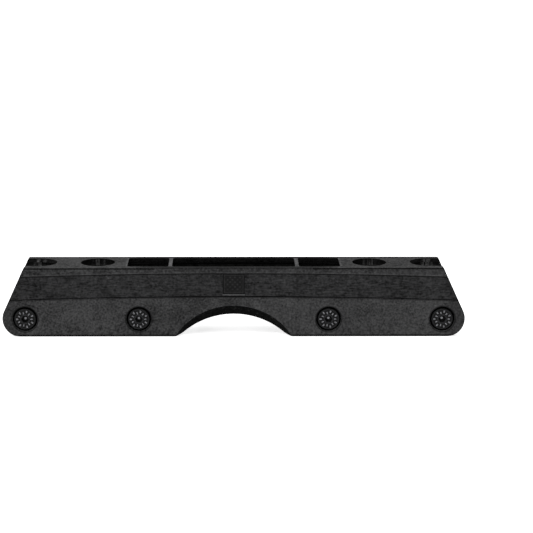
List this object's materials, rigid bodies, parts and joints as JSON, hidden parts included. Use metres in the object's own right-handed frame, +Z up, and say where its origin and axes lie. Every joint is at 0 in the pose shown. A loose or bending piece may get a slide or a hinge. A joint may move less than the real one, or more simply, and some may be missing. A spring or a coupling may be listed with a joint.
{
  "type": "aggressive inline skate frame",
  "caption": "Moulded inline skate frame with an arched grind block, open wheel bays, slanted ends, two-piece hex-socket axles and captive boot-mount nuts.",
  "frame": {"origin": "middle of the frame on the plane of its bottom edges", "axes": "+X along the frame to the front, +Y across it to the sleeve heads, +Z up to the deck"},
  "size_m": [0.2826, 0.0334, 0.043],
  "materials": {
    "frame_body": "moulded glass-filled nylon, fine grain",
    "axle": "black-coated steel, satin",
    "nut": "zinc-plated"
  },
  "bodies": {
    "frame": {"frame_body": "frame_body", "mount_nut_front": "nut", "mount_nut_rear": "nut"},
    "bolt_1": {"axle_bolt_1": "axle"},
    "sleeve_1": {"axle_sleeve_1": "axle"},
    "bolt_2": {"axle_bolt_2": "axle"},
    "sleeve_2": {"axle_sleeve_2": "axle"},
    "bolt_3": {"axle_bolt_3": "axle"},
    "sleeve_3": {"axle_sleeve_3": "axle"},
    "bolt_4": {"axle_bolt_4": "axle"},
    "sleeve_4": {"axle_sleeve_4": "axle"}
  },
  "joints": [
    {"name": "bolt_1_draw", "type": "slide", "parent": "frame", "child": "bolt_1", "axis": [0, -1, 0], "range_m": [0, 0.019]},
    {"name": "sleeve_1_draw", "type": "slide", "parent": "frame", "child": "sleeve_1", "axis": [0, 1, 0], "range_m": [0, 0.031]},
    {"name": "bolt_2_draw", "type": "slide", "parent": "frame", "child": "bolt_2", "axis": [0, -1, 0], "range_m": [0, 0.019]},
    {"name": "sleeve_2_draw", "type": "slide", "parent": "frame", "child": "sleeve_2", "axis": [0, 1, 0], "range_m": [0, 0.031]},
    {"name": "bolt_3_draw", "type": "slide", "parent": "frame", "child": "bolt_3", "axis": [0, -1, 0], "range_m": [0, 0.019]},
    {"name": "sleeve_3_draw", "type": "slide", "parent": "frame", "child": "sleeve_3", "axis": [0, 1, 0], "range_m": [0, 0.031]},
    {"name": "bolt_4_draw", "type": "slide", "parent": "frame", "child": "bolt_4", "axis": [0, -1, 0], "range_m": [0, 0.019]},
    {"name": "sleeve_4_draw", "type": "slide", "parent": "frame", "child": "sleeve_4", "axis": [0, 1, 0], "range_m": [0, 0.031]}
  ]
}
